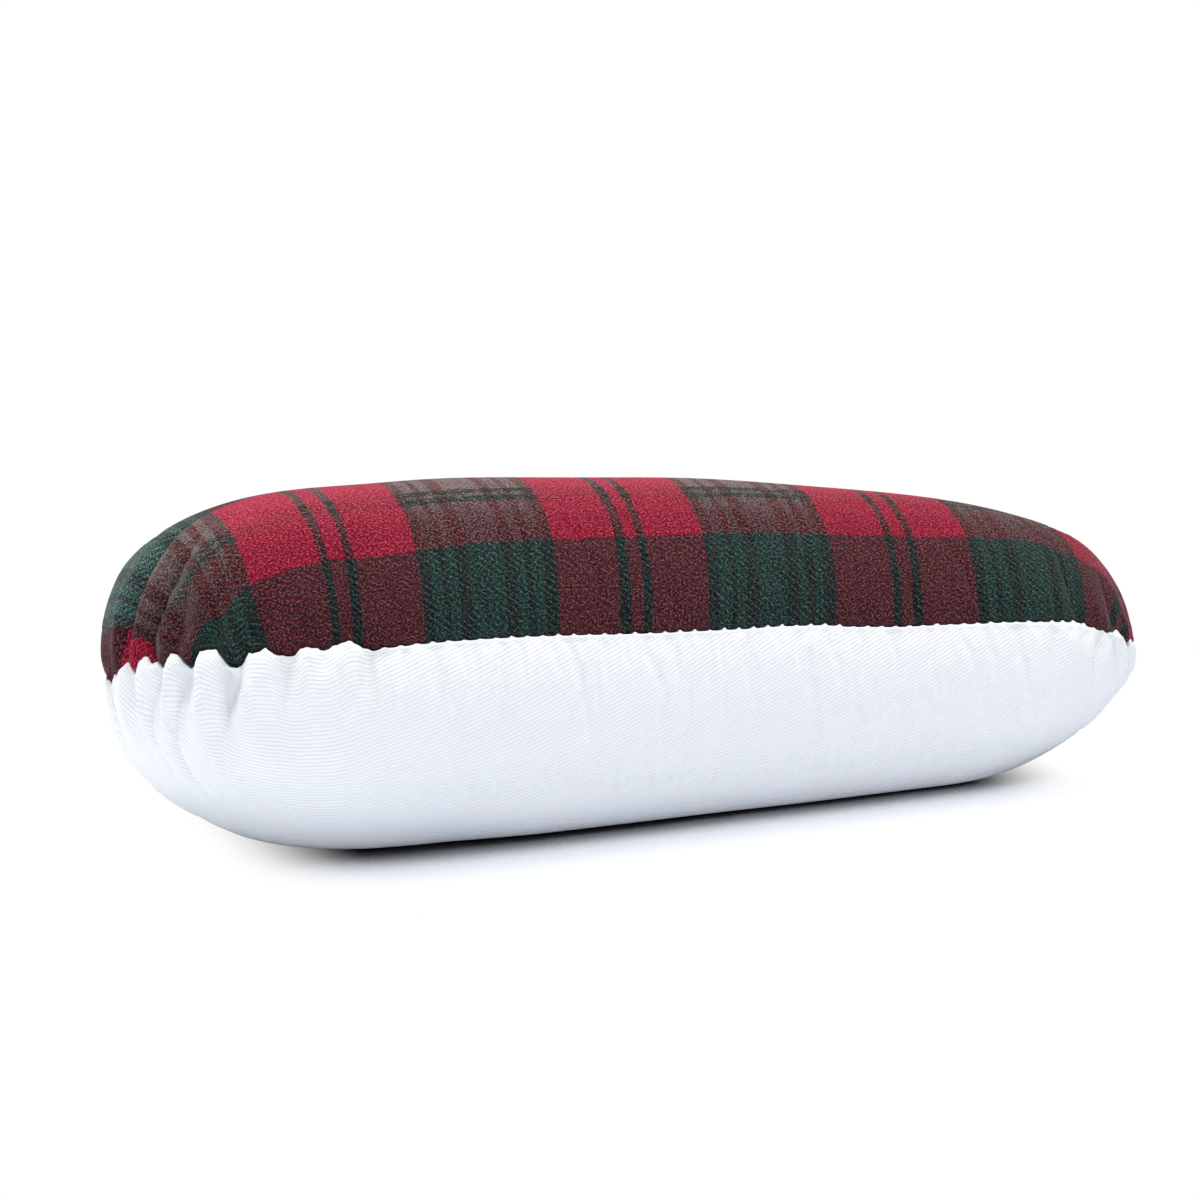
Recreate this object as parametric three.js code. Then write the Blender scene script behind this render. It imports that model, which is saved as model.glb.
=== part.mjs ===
// A seam roll: a firmly stuffed bolster for pressing seams, half tartan wool and half white cotton drill.
// Millimetres, +Z up, +X along the roll from its full end to its slim end, -Y towards the near side.
import * as THREE from 'three';
import { mergeVertices } from 'three/addons/utils/BufferGeometryUtils.js';

// The stuffed form, measured on the outside of the cloth
const rollLength = 340;
const fullEndWidth = 114; // what the sides' taper comes to at the full end, before the end rounds off
const slimEndWidth = 84; // and at the slim end
const crownHeight = 55; // from the seam up to the wool's crown, at mid-length
const bellyDepth = 53; // from the seam down to the cotton's belly, at mid-length, before it settles
const sideRounding = 75; // length of each rounded end, seen from above
const crownRounding = 163; // and seen from the side, on the wool
const bellyRounding = 85; // and on the cotton
const sideFullness = 2.1; // powers of the rounding curves: 2 is an ellipse, and more is squarer
const crownFullness = 3.1;
const bellyFullness = 2.03;
const sectionFullness = 2.06;

// How the roll lies
const rolledBack = THREE.MathUtils.degToRad(21); // its near side is turned up by this much
const settledDepth = 10.8; // how deep the belly is pressed flat, at mid-length

// The cloth and its seam
const woolThickness = 1.6;
const cottonThickness = 0.8;
const seamAllowance = 8; // turned in all round
const threadDiameter = 0.5;
const clearance = 0.3;

// The gathers that take in the spare cloth round each end: how far the seam's waves go up and down and
// in and out, their length along the seam, the stretch of the roll that they cover and its stations
const fullEndGather = { rise: 2.6, swell: 1.0, pitch: 14, stretch: 110, steps: 30 };
const slimEndGather = { rise: 0.9, swell: 0.6, pitch: 14, stretch: 75, steps: 14 };

// The hand stitching of the closed stretch, at the middle of the far side
const closingStitches = 22;
const closingPitch = 4;
const closingBite = 2; // how far each stitch reaches to either side of the seam

// How finely the other curves are divided
const middleSteps = 7;
const arcSteps = 9;
const threadSides = 5;
const stepsPerStitch = 4;
const hemPoints = 2; // between the two arcs of a loop
const weldDistance = 1e-4; // points nearer than this are one

const halfLength = rollLength / 2;
const halfWidth = (fullEndWidth + slimEndWidth) / 4;
const taper = (fullEndWidth - slimEndWidth) / (fullEndWidth + slimEndWidth);

// Share of the full size that is left at x, where an end rounds off over a length
function endShare(x, length, power) {
  const along = THREE.MathUtils.clamp((Math.abs(x) - halfLength + length) / length, 0, 1);
  return (1 - along ** power) ** (1 / power);
}

function sideAt(x) {
  return halfWidth * (1 - taper * x / halfLength) * endShare(x, sideRounding, sideFullness);
}

// Stations along the roll, closer together where the ends round off and gather
function stationPlaces() {
  const quarter = Math.PI / 2;
  const places = [];
  for (let i = 0; i < fullEndGather.steps; i += 1) {
    const share = 1 - Math.cos(quarter * i / fullEndGather.steps);
    places.push(-halfLength + fullEndGather.stretch * share);
  }
  const middle = rollLength - fullEndGather.stretch - slimEndGather.stretch;
  for (let i = 0; i < middleSteps; i += 1) {
    places.push(-halfLength + fullEndGather.stretch + middle * i / middleSteps);
  }
  for (let i = 0; i <= slimEndGather.steps; i += 1) {
    const share = 1 - Math.sin(quarter * i / slimEndGather.steps);
    places.push(halfLength - slimEndGather.stretch * share);
  }
  return places;
}

// Each station holds the form's size there, the way out of the seam and the seam's waves
function makeStations() {
  const places = stationPlaces();
  const seam = places.map((x) => new THREE.Vector2(x, sideAt(x)));
  const last = seam.length - 1;
  const runs = [0];
  for (let i = 1; i <= last; i += 1) {
    runs.push(runs[i - 1] + seam[i].distanceTo(seam[i - 1]));
  }
  return places.map((x, i) => {
    const before = seam[Math.max(i - 1, 0)];
    const after = seam[Math.min(i + 1, last)];
    const way = new THREE.Vector2(before.y - after.y, after.x - before.x).normalize();
    const full = gatherWave(fullEndGather, halfLength + x, runs[i]);
    const slim = gatherWave(slimEndGather, halfLength - x, runs[last] - runs[i]);
    const fullness = 1 - taper * x / halfLength;
    return {
      x,
      side: seam[i].y,
      crown: crownHeight * fullness * endShare(x, crownRounding, crownFullness),
      belly: bellyDepth * fullness * endShare(x, bellyRounding, bellyFullness),
      fullness,
      way,
      rise: full.rise + slim.rise,
      swell: full.swell + slim.swell,
    };
  });
}

// The seam's waves at a distance from the end's tip, and at a length along the seam from it. They grow
// from nothing at the tip and die away where the gathered stretch ends.
function gatherWave(gather, distance, run) {
  const strength = Math.sin(Math.PI * Math.min(distance / gather.stretch, 1));
  const phase = 2 * Math.PI * run / gather.pitch;
  return {
    rise: gather.rise * strength * Math.sin(phase),
    swell: gather.swell * strength * Math.cos(phase),
  };
}

const stations = makeStations();
const seamHeight = bellyLowest() - settledDepth; // of the seam's middle above the table

// Depth of the unsettled belly under the roll's axis at mid-length, with the roll turned back
function bellyLowest() {
  const samples = 360;
  let lowest = 0;
  for (let i = 0; i <= samples; i += 1) {
    const turn = Math.PI * i / samples;
    const y = halfWidth * rounded(Math.cos(turn));
    const z = bellyDepth * rounded(Math.sin(turn));
    lowest = Math.max(lowest, y * Math.sin(rolledBack) + z * Math.cos(rolledBack));
  }
  return lowest;
}

function rounded(value) {
  return Math.sign(value) * Math.abs(value) ** (2 / sectionFullness);
}

// A point of the roll, from its own frame, with the seam level, to where it lies. Nothing that is
// inset from the outside by some depth comes nearer than that depth to the table.
function laid(x, y, z, station, inset) {
  const back = y * Math.cos(rolledBack) + z * Math.sin(rolledBack);
  const up = z * Math.cos(rolledBack) - y * Math.sin(rolledBack) + seamHeight * station.fullness;
  return new THREE.Vector3(x, back, Math.max(up, inset));
}

// A point at a depth inside the outer surface. The turn runs from the near side of the seam (0) over the
// crown to its far side (pi). Half is 1 on the wool and -1 on the cotton, lift is the distance from the
// seam's plane at which the surface starts, and nothing is nearer to that plane than the least distance.
function pointInside(station, turn, half, inset, lift, least = lift) {
  const height = half > 0 ? crownHeight : bellyDepth;
  const rise = half > 0 ? station.crown : station.belly;
  const across = -rounded(Math.cos(turn));
  const upward = rounded(Math.sin(turn));
  const nearSeam = 1 - Math.sin(turn);
  const outward = station.swell * nearSeam;
  const x = station.x * (halfLength - inset) / halfLength + station.way.x * outward;
  const side = station.side * (halfWidth - inset) / halfWidth + station.way.y * outward;
  const above = Math.max(least, lift + rise * (height - inset - lift) / height * upward);
  return laid(x, side * across, half * above + station.rise * nearSeam, station, inset);
}

function arcInside(station, half, inset, lift, least) {
  const points = [];
  for (let i = 0; i <= arcSteps; i += 1) {
    points.push(pointInside(station, Math.PI * i / arcSteps, half, inset, lift, least));
  }
  return points;
}

// A closed body lofted through one loop of points for each station. At both ends the loops fold flat.
// From the column where a loop turns back, the facets are cut along the other diagonal, so that
// surfaces that nest have matching facets. Mirrored loops run the other way round.
function loftedBody(loops, turnsBackAt, mirrored = false) {
  const size = loops[0].length;
  const positions = loops.flat().flatMap((point) => point.toArray());
  const triangles = [];
  const addTriangle = (a, b, c) => triangles.push(...(mirrored ? [a, b, c] : [a, c, b]));
  for (let i = 0; i + 1 < loops.length; i += 1) {
    for (let j = 0; j < size; j += 1) {
      const next = (j + 1) % size;
      const [a, b] = [i * size + j, i * size + next];
      const [d, c] = [a + size, b + size];
      if (j < turnsBackAt) {
        addTriangle(a, b, c);
        addTriangle(a, c, d);
      } else {
        addTriangle(a, b, d);
        addTriangle(b, c, d);
      }
    }
  }
  return welded(positions, triangles);
}

// Joins equal points and drops the triangles that close up where the loops fold flat
function welded(positions, triangles) {
  const geometry = new THREE.BufferGeometry();
  geometry.setAttribute('position', new THREE.Float32BufferAttribute(positions, 3));
  geometry.setIndex(triangles);
  const joined = mergeVertices(geometry, weldDistance);
  const kept = [];
  const index = joined.index.array;
  for (let i = 0; i < index.length; i += 3) {
    const [a, b, c] = [index[i], index[i + 1], index[i + 2]];
    if (a !== b && b !== c && c !== a) kept.push(a, b, c);
  }
  joined.setIndex(kept);
  joined.computeVertexNormals();
  return joined;
}

// One half's cover: cloth over the half, with its allowance turned in along the seam
function coverGeometry(half, thickness) {
  const seamFace = clearance / 2;
  const inside = seamFace + thickness;
  const loops = stations.map((station) => {
    const hem = (turn, lift) => pointInside(station, turn, half, seamAllowance, lift);
    return [
      ...arcInside(station, half, 0, seamFace),
      hem(Math.PI, seamFace),
      hem(Math.PI, inside),
      ...arcInside(station, half, thickness, inside).reverse(),
      hem(0, inside),
      hem(0, seamFace),
    ];
  });
  return loftedBody(loops, arcSteps + hemPoints, half < 0);
}

// The filling fills both covers, with a slot all round that takes the turned-in allowances and the threads
function fillingGeometry() {
  const threadRoom = threadDiameter + 2 * clearance;
  const slotInset = seamAllowance + clearance;
  const upperLift = clearance / 2 + woolThickness;
  const lowerLift = clearance / 2 + cottonThickness;
  const slotTop = upperLift + threadRoom;
  const slotFloor = lowerLift + threadRoom;
  const loops = stations.map((station) => [
    ...arcInside(station, 1, woolThickness + clearance, upperLift, slotTop),
    pointInside(station, Math.PI, 1, slotInset, slotTop),
    pointInside(station, Math.PI, -1, slotInset, slotFloor),
    ...arcInside(station, -1, cottonThickness + clearance, lowerLift, slotFloor).reverse(),
    pointInside(station, 0, -1, slotInset, slotFloor),
    pointInside(station, 0, 1, slotInset, slotTop),
  ]);
  return loftedBody(loops, arcSteps + hemPoints);
}

// A thread of the machine seam, on the inner face of one allowance, in the fold's corner all round
function seamThreadGeometry(half, thickness) {
  const radius = threadDiameter / 2;
  const inset = thickness + clearance + radius;
  const lift = clearance / 2 + inset;
  const near = stations.map((station) => pointInside(station, 0, half, inset, lift));
  const far = stations.map((station) => pointInside(station, Math.PI, half, inset, lift));
  const line = [...near, ...far.slice(1, -1).reverse()];
  const up = new THREE.Vector3(0, Math.sin(rolledBack), Math.cos(rolledBack));
  const rings = line.map((point, i) => {
    const before = line[(i + line.length - 1) % line.length];
    const after = line[(i + 1) % line.length];
    const ahead = after.clone().sub(before).normalize();
    const across = ahead.clone().cross(up).normalize();
    const above = across.clone().cross(ahead);
    return threadRing(point, across, above, radius);
  });
  return loftedBody([...rings, rings[0]], threadSides);
}

function threadRing(centre, across, above, radius) {
  const ring = [];
  for (let i = 0; i < threadSides; i += 1) {
    const angle = 2 * Math.PI * i / threadSides;
    const point = centre.clone().addScaledVector(across, radius * Math.cos(angle));
    ring.push(point.addScaledVector(above, radius * Math.sin(angle)));
  }
  return ring;
}

// The hand stitches, one unbroken thread that crosses the seam to and fro on the outside of the far side
function closingThreadGeometry() {
  const radius = threadDiameter / 2;
  const start = -closingStitches * closingPitch / 2;
  const points = [];
  for (let i = 0; i <= closingStitches; i += 1) {
    const x = start + i * closingPitch;
    const y = sideAt(x) + clearance + radius;
    const z = i % 2 === 0 ? closingBite : -closingBite;
    points.push(laid(x, y, z, { fullness: 1 - taper * x / halfLength }, 0));
  }
  const corners = [];
  for (let i = 0; i < threadSides; i += 1) {
    const angle = 2 * Math.PI * i / threadSides;
    corners.push(new THREE.Vector2(radius * Math.cos(angle), radius * Math.sin(angle)));
  }
  const geometry = new THREE.ExtrudeGeometry(new THREE.Shape(corners), {
    steps: closingStitches * stepsPerStitch,
    extrudePath: new THREE.CatmullRomCurve3(points),
  });
  geometry.deleteAttribute('normal');
  geometry.deleteAttribute('uv');
  return mergeVertices(geometry, weldDistance);
}

function cloth(colour, roughness) {
  return new THREE.MeshStandardMaterial({ color: colour, roughness, metalness: 0 });
}

function piece(name, geometry, material) {
  const mesh = new THREE.Mesh(geometry, material);
  mesh.name = name;
  return mesh;
}

const roll = new THREE.Group();
roll.add(
  piece('wool_top_cover', coverGeometry(1, woolThickness), cloth(0x5d2f35, 0.95)),
  piece('cotton_bottom_cover', coverGeometry(-1, cottonThickness), cloth(0xe9ebf0, 0.9)),
  piece('sawdust_filling', fillingGeometry(), cloth(0xc49a66, 1)),
  piece('seam_needle_thread', seamThreadGeometry(1, woolThickness), cloth(0xdedfe0, 0.7)),
  piece('seam_bobbin_thread', seamThreadGeometry(-1, cottonThickness), cloth(0xdedfe0, 0.7)),
  piece('closing_thread', closingThreadGeometry(), cloth(0xdedfe0, 0.7)),
);

// The roll's own origin is the middle of its box, on the table
const middle = new THREE.Box3().setFromObject(roll).getCenter(new THREE.Vector3());
roll.position.set(-middle.x, -middle.y, 0);

const seamRoll = new THREE.Group();
seamRoll.add(roll);

export default seamRoll;
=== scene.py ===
import math

import bmesh
import bpy
import numpy as np
from mathutils import Matrix, Vector


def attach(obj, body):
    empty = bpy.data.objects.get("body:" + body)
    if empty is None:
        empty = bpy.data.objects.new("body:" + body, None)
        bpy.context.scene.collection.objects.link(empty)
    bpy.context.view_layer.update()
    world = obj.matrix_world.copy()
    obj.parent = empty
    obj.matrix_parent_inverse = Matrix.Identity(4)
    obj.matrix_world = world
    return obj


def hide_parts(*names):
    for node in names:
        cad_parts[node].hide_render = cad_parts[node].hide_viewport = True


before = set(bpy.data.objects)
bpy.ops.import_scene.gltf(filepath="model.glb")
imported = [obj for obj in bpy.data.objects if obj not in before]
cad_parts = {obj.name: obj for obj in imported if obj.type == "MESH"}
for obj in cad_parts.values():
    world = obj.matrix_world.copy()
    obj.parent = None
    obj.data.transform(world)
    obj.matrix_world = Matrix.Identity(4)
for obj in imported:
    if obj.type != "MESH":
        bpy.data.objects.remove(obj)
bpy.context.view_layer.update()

# The form, in millimetres, as the part's source has it: x along the roll, z out of the seam's plane
HALF_LENGTH = 170.0
HALF_WIDTH = 49.5
TAPER = 30 / 198
CROWN_HEIGHT = 55.0
BELLY_DEPTH = 53.0
SIDE_END = (75.0, 2.1)
CROWN_END = (163.0, 3.1)
BELLY_END = (85.0, 2.03)
SECTION_POWER = 2.06
ROLLED_BACK = math.radians(21)
SETTLED_DEPTH = 10.8
SIDE_SHIFT = -0.14
TABLE_SOFTNESS = 0.9
MM = 0.001

# The two cloths; their columns run from the seam to a spine that ends in two poles
WOOL, COTTON = 1, -1
THICKNESS = {WOOL: 1.6, COTTON: 0.8}
LIP = {WOOL: 1.1, COTTON: 0.7}
POLE_LEFT, POLE_RIGHT = -113.0, 127.0
SEAM_GAP = 0.3
ALLOWANCE = 8.0
HEM_PLACES = (ALLOWANCE, 5.0, 2.8)

# The stitches: the machine seam's two threads, and the hand stitches that close its last stretch
STITCH_PITCH = 4.85
STEPS_PER_STITCH = 6
THREAD_RADIUS = 0.25
THREAD_SIDES = 8
THREAD_INSET = 4.2
THREAD_INSET_BELOW_FOLDS = 2.6
THREAD_DEPTH = {WOOL: 1.62, COTTON: 1.2}
THREAD_DIP = 0.14
CLOSING_STITCHES = 22
CLOSING_PITCH = 4.0
CLOSING_BITE = 2.0
CLOSING_STEPS = 8

# Lumps of the stuffing: how high, where along the roll, how long
CREST_SWELL = (1.3, 14, 38)
NECK_DIP = (1.0, -92, 22)
BELLY_DIP = (2.4, -142, 22)

# The seam's wave along the near side: millimetres from the full end's tip, and millimetres up
NEAR_WAVE = (
    (0, -0.7), (2.7, 1.5), (8.3, 1.7), (14, 4.0), (19.1, -0.4), (23.4, 4.6), (25.9, 1.5), (28.7, 2.2),
    (30.5, -0.7), (34.8, 3.5), (40.8, -2.0), (44, 2.7), (46.2, 3.0), (48.3, 2.5), (50, 0.6), (52.1, -2.8),
    (53.8, -3.4), (56.4, -2.8), (57.6, -0.1), (60.4, 0.5), (63.8, 1.0), (66, -0.9), (68.5, -1.5),
    (71.3, -1.7), (72.7, -0.4), (74.6, 0.9), (77.2, -0.2), (79.7, -0.8), (82.5, 0), (85, 1.2), (87, 1.4),
    (89.3, 0.5), (91.3, -1.1), (93.9, -1.8), (96.5, -1.1), (101.5, -0.9), (107.5, -0.4), (119.6, 0.1),
    (131.8, 0.4), (144.2, 0.5), (156.7, 0.4), (169.4, 0.2), (182.3, 0.1), (195.4, 0.2), (208.6, 0.3),
    (222, 0.7), (235.5, 0.6), (249.3, -0.4), (263.2, -0.9), (277.4, -0.8), (291.7, -0.9), (302.3, -0.8),
    (318.2, -0.9), (331.5, -0.9), (336.4, -2.2), (341.7, -3.2), (347.6, -4.0), (354.2, -3.1), (357.5, -4.2),
    (362.4, -7.6), (369, -5.0), (376, -6.5), (383, -3.8), (389.7, -5.6),
)


def rounded(value):
    return np.sign(value) * np.abs(value) ** (2 / SECTION_POWER)


def belly_lowest():
    turn = np.linspace(0, np.pi, 361)
    across = HALF_WIDTH * rounded(np.cos(turn))
    down = BELLY_DEPTH * rounded(np.sin(turn))
    return float(np.max(across * np.sin(ROLLED_BACK) + down * np.cos(ROLLED_BACK)))


SEAM_HEIGHT = belly_lowest() - SETTLED_DEPTH


def end_share(x, end):
    length, power = end
    along = np.clip((np.abs(x) - HALF_LENGTH + length) / length, 0, 1)
    return (1 - along ** power) ** (1 / power)


def fullness(x):
    return 1 - TAPER * x / HALF_LENGTH


def side(x):
    return HALF_WIDTH * fullness(x) * end_share(x, SIDE_END)


def hump(x, middle, spread):
    return np.exp(-((x - middle) / spread) ** 2)


def lump(x, size):
    tall, middle, spread = size
    return tall * hump(x, middle, spread)


def height(x, half):
    if half == WOOL:
        lumps = lump(x, CREST_SWELL) - lump(x, NECK_DIP)
        return CROWN_HEIGHT * fullness(x) * end_share(x, CROWN_END) + lumps
    thinner = lump(x, BELLY_DIP) * end_share(x, BELLY_END)
    return BELLY_DEPTH * fullness(x) * end_share(x, BELLY_END) - thinner


def laid(points):
    """From the roll's own frame, in millimetres, to where it lies, in metres."""
    x, y, z = points[..., 0], points[..., 1], points[..., 2]
    back = y * np.cos(ROLLED_BACK) + z * np.sin(ROLLED_BACK) + SIDE_SHIFT
    up = z * np.cos(ROLLED_BACK) - y * np.sin(ROLLED_BACK) + SEAM_HEIGHT * fullness(x)
    up = 0.5 * (up + np.sqrt(up * up + TABLE_SOFTNESS * TABLE_SOFTNESS))
    return np.stack([x, back, up], -1) * MM


def near_seam_line():
    turn = np.linspace(0, np.pi, 40001)
    x = -HALF_LENGTH * np.cos(turn)
    y = -side(x)
    y[0] = y[-1] = 0
    run = np.concatenate([[0], np.cumsum(np.hypot(np.diff(x), np.diff(y)))])
    return x, y, run


LINE_X, LINE_Y, LINE_RUN = near_seam_line()
HALF_LOOP = LINE_RUN[-1]
LOOP = 2 * HALF_LOOP
HALF_COLUMNS = int(round(HALF_LOOP / STITCH_PITCH)) * STEPS_PER_STITCH
COLUMNS = 2 * HALF_COLUMNS
RUNS = np.linspace(0, LOOP, COLUMNS, endpoint=False)
NEAR_RUNS = np.minimum(RUNS, LOOP - RUNS)
SIDE_SIGN = np.where(RUNS <= HALF_LOOP, 1.0, -1.0)
SEAM_X = np.interp(NEAR_RUNS, LINE_RUN, LINE_X)
SEAM_Y = np.interp(NEAR_RUNS, LINE_RUN, LINE_Y) * SIDE_SIGN
SPINE_X = np.clip(SEAM_X, POLE_LEFT, POLE_RIGHT)


def inward_ways():
    dx = np.roll(SEAM_X, -1) - np.roll(SEAM_X, 1)
    dy = np.roll(SEAM_Y, -1) - np.roll(SEAM_Y, 1)
    long = np.hypot(dx, dy)
    return np.stack([-dy / long, dx / long, 0 * dx], -1)


INWARD = inward_ways()


def smooth_step(value):
    value = np.clip(value, 0, 1)
    return value * value * (3 - 2 * value)


def eased(places, heights, at):
    """Runs through the given heights with level turning points."""
    index = np.clip(np.searchsorted(places, at, side="right") - 1, 0, len(places) - 2)
    share = (at - places[index]) / (places[index + 1] - places[index])
    return heights[index] + (heights[index + 1] - heights[index]) * smooth_step(share)


def blurred(values, spread):
    """Smooths values round the loop of columns."""
    wave = np.fft.rfftfreq(COLUMNS, LOOP / COLUMNS) * 2 * np.pi
    return np.fft.irfft(np.fft.rfft(values) * np.exp(-0.5 * (wave * spread) ** 2), COLUMNS)


# The far side's wave: close gathers up to the first place, wide waves between, gathers again from the last
FAR_GATHERS_END = 105
FAR_WIDE_WAVES = (130, 170, 210, 250, 290)
FAR_GATHERS_START = 318.0
TIP_RISES = (-0.7, -5.6)


def far_wave():
    """The seam's wave on the side that the photo doesn't show, of the same kind as the near one's."""
    rng = np.random.RandomState(11)
    places, heights = [0.0], [TIP_RISES[0]]
    run, up = 0.0, True
    while run < FAR_GATHERS_END:
        run += rng.uniform(4.0, 7.5)
        strength = rng.uniform(1.4, 2.9) * (1 - 0.75 * smooth_step((run - 45) / 60))
        places.append(run)
        heights.append((strength if up else -strength) + 1.3 * (1 - smooth_step(run / 60)))
        up = not up
    for run in FAR_WIDE_WAVES:
        places.append(float(run))
        heights.append(rng.uniform(-0.5, 0.5))
    run = FAR_GATHERS_START
    while run < HALF_LOOP - 6:
        places.append(run)
        drop = -5.0 * smooth_step((run - 325) / 45)
        heights.append(drop + (0.9 if up else -0.9))
        up = not up
        run += rng.uniform(6, 9)
    places.append(HALF_LOOP)
    heights.append(TIP_RISES[1])
    return np.array(places), np.array(heights)


def seam_rise():
    near_places, near_heights = np.array(NEAR_WAVE, float).T
    far_places, far_heights = far_wave()
    near = eased(near_places, near_heights, np.minimum(NEAR_RUNS, near_places[-1]))
    far = eased(far_places, far_heights, NEAR_RUNS)
    return blurred(np.where(SIDE_SIGN > 0, near, far), 0.7)


RISE = seam_rise()
WAVE = RISE - blurred(RISE, 14)


def stitch_teeth():
    """Narrow points where each stitch pulls the cotton up, some taller than others."""
    place = RUNS / STITCH_PITCH
    number = np.floor(place + 0.5).astype(int)
    tall = np.random.RandomState(17).uniform(0.45, 1.25, number.max() + 1)
    return tall[number] * np.exp(-((place - number) / 0.12) ** 2)


TEETH = stitch_teeth()

SURFACE_STEPS = np.concatenate([[1.4, 2.0, 2.8, 3.7, 4.7], np.arange(5.8, 34, 1.15)])
OUTER_STEPS = 30
LIP_STEPS = 5


def base_rows(half, starts):
    """Points of the plain form, one row for each distance from the seam, and how long each column is."""
    theta = np.linspace(0, np.pi / 2, 241)
    share = rounded(np.cos(theta))
    x = SPINE_X[:, None] + (SEAM_X - SPINE_X)[:, None] * share[None]
    y = SEAM_Y[:, None] * share[None]
    wide = np.maximum(side(x), 1e-9)
    inside = np.clip(1 - np.minimum(np.abs(y) / wide, 1) ** SECTION_POWER, 0, 1)
    z = height(x, half) * inside ** (1 / SECTION_POWER)
    z[:, 0] = 0
    points = np.stack([x, y, half * z], -1)
    run = np.cumsum(np.linalg.norm(np.diff(points, axis=1), axis=-1), axis=1)
    run = np.concatenate([np.zeros((COLUMNS, 1)), run], 1)
    long = run[:, -1]
    last = starts[-1]
    ends = last + (long[:, None] - last) * (np.arange(1, OUTER_STEPS + 1) / OUTER_STEPS)[None]
    away = np.concatenate([np.repeat(starts[None], COLUMNS, 0), ends], 1)
    rows = np.empty(away.shape + (3,))
    for k in range(COLUMNS):
        for axis in range(3):
            rows[k, :, axis] = np.interp(away[k], run[k], points[k, :, axis])
    return rows, away, long


def outward_ways(rows, half):
    around = np.roll(rows, -1, axis=0) - np.roll(rows, 1, axis=0)
    up = np.gradient(rows, axis=1)
    ways = np.cross(around, up) * half
    ways[:, -1] = (0, 0, half)
    ways /= np.maximum(np.linalg.norm(ways, axis=-1, keepdims=True), 1e-9)
    ways[:, 0] = -INWARD
    return ways


def shifted(values, by):
    """Values round the loop, moved along it by some millimetres at each column."""
    at = np.mod(RUNS - by, LOOP)
    return np.interp(at, np.append(RUNS, LOOP), np.append(values, values[0]))


def short_way(gap):
    """A distance along the loop, taken the short way round."""
    return np.mod(gap + LOOP / 2, LOOP) - LOOP / 2


# How much each column belongs to an end of the roll, and how strongly the seam swings there
FULL_END = 1 - smooth_step((NEAR_RUNS - 75) / 50)
SLIM_END = smooth_step((NEAR_RUNS - 315) / 40)
SWING = blurred(np.abs(WAVE), 7) * 1.57 + 0.05


# Gathers: which way the seam's wave pushes, lean along the seam, reach, strength
GATHERS = {WOOL: (-1.0, 0.3, 17.0, 0.8), COTTON: (1.0, -0.36, 25.0, 1.35)}
GATHER_LEAN_END = 18.0
GATHER_RISE = 2.2


def gather_field(half, away):
    """How far the gathers push the cloth out, by column and distance from the seam."""
    out = np.zeros_like(away)
    sign, lean, reach, strength = GATHERS[half]
    for j in range(away.shape[1]):
        gone = away[:, j].mean()
        bent = lean * min(gone, GATHER_LEAN_END) * FULL_END * SIDE_SIGN
        spread = 0.7 + 0.06 * gone
        wave = shifted(blurred(sign * WAVE, spread), bent)
        swing = shifted(SWING, bent)
        level = np.clip(wave / swing, -1, 1)
        puffed = swing * (2 * np.sqrt((level + 1) / 2) - 1.25)
        grow = 1 - math.exp(-gone / GATHER_RISE)
        out[:, j] = strength * puffed * grow * math.exp(-(gone / reach) ** 1.5)
    return out


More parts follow.
